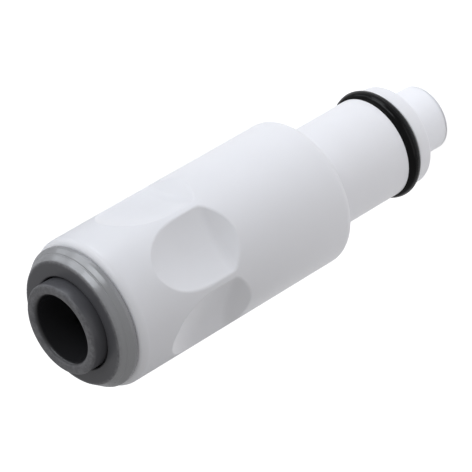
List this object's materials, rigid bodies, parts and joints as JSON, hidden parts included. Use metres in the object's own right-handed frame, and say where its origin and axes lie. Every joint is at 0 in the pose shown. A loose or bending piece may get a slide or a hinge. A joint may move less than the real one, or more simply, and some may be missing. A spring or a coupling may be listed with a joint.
{
  "type": "plastic quick disconnect coupling",
  "caption": "In-line tube coupling half: hexagon-gripped plastic body with a push-in release collet behind and a sealed, spring-valved plug nose in front.",
  "frame": {"origin": "centre of the valve stem's tip face, on which the coupling stands", "axes": "+Z along the coupling's axis from the plug nose up to the collet; -Y through the middle of one finger scoop"},
  "size_m": [0.021, 0.021, 0.068],
  "materials": {
    "white_body": "smooth moulded, soft sheen",
    "grey_plastic": "smooth moulded, low sheen",
    "natural_plastic": "moulded",
    "black_rubber": "satin",
    "stainless": "bright"
  },
  "bodies": {
    "housing_body": {"housing": "white_body", "tube_cartridge": "grey_plastic", "backup_washer": "natural_plastic", "tube_oring": "black_rubber", "valve_retainer": "natural_plastic", "valve_spring": "stainless", "nose_oring": "black_rubber"},
    "collet_body": {"release_collet": "grey_plastic", "grip_blade_1": "stainless", "grip_blade_2": "stainless", "grip_blade_3": "stainless", "grip_blade_4": "stainless", "grip_blade_5": "stainless", "grip_blade_6": "stainless"},
    "poppet_body": {"valve_poppet": "white_body", "poppet_oring": "black_rubber"}
  },
  "joints": [
    {"name": "collet_release", "type": "slide", "parent": "housing_body", "child": "collet_body", "axis": [0, 0, -1], "range_m": [0, 0.0015]},
    {"name": "valve_open", "type": "slide", "parent": "housing_body", "child": "poppet_body", "axis": [0, 0, 1], "range_m": [0, 0.005], "stiffness_N_per_m": 450, "springref_m": -0.008, "deforming": ["valve_spring"]}
  ]
}
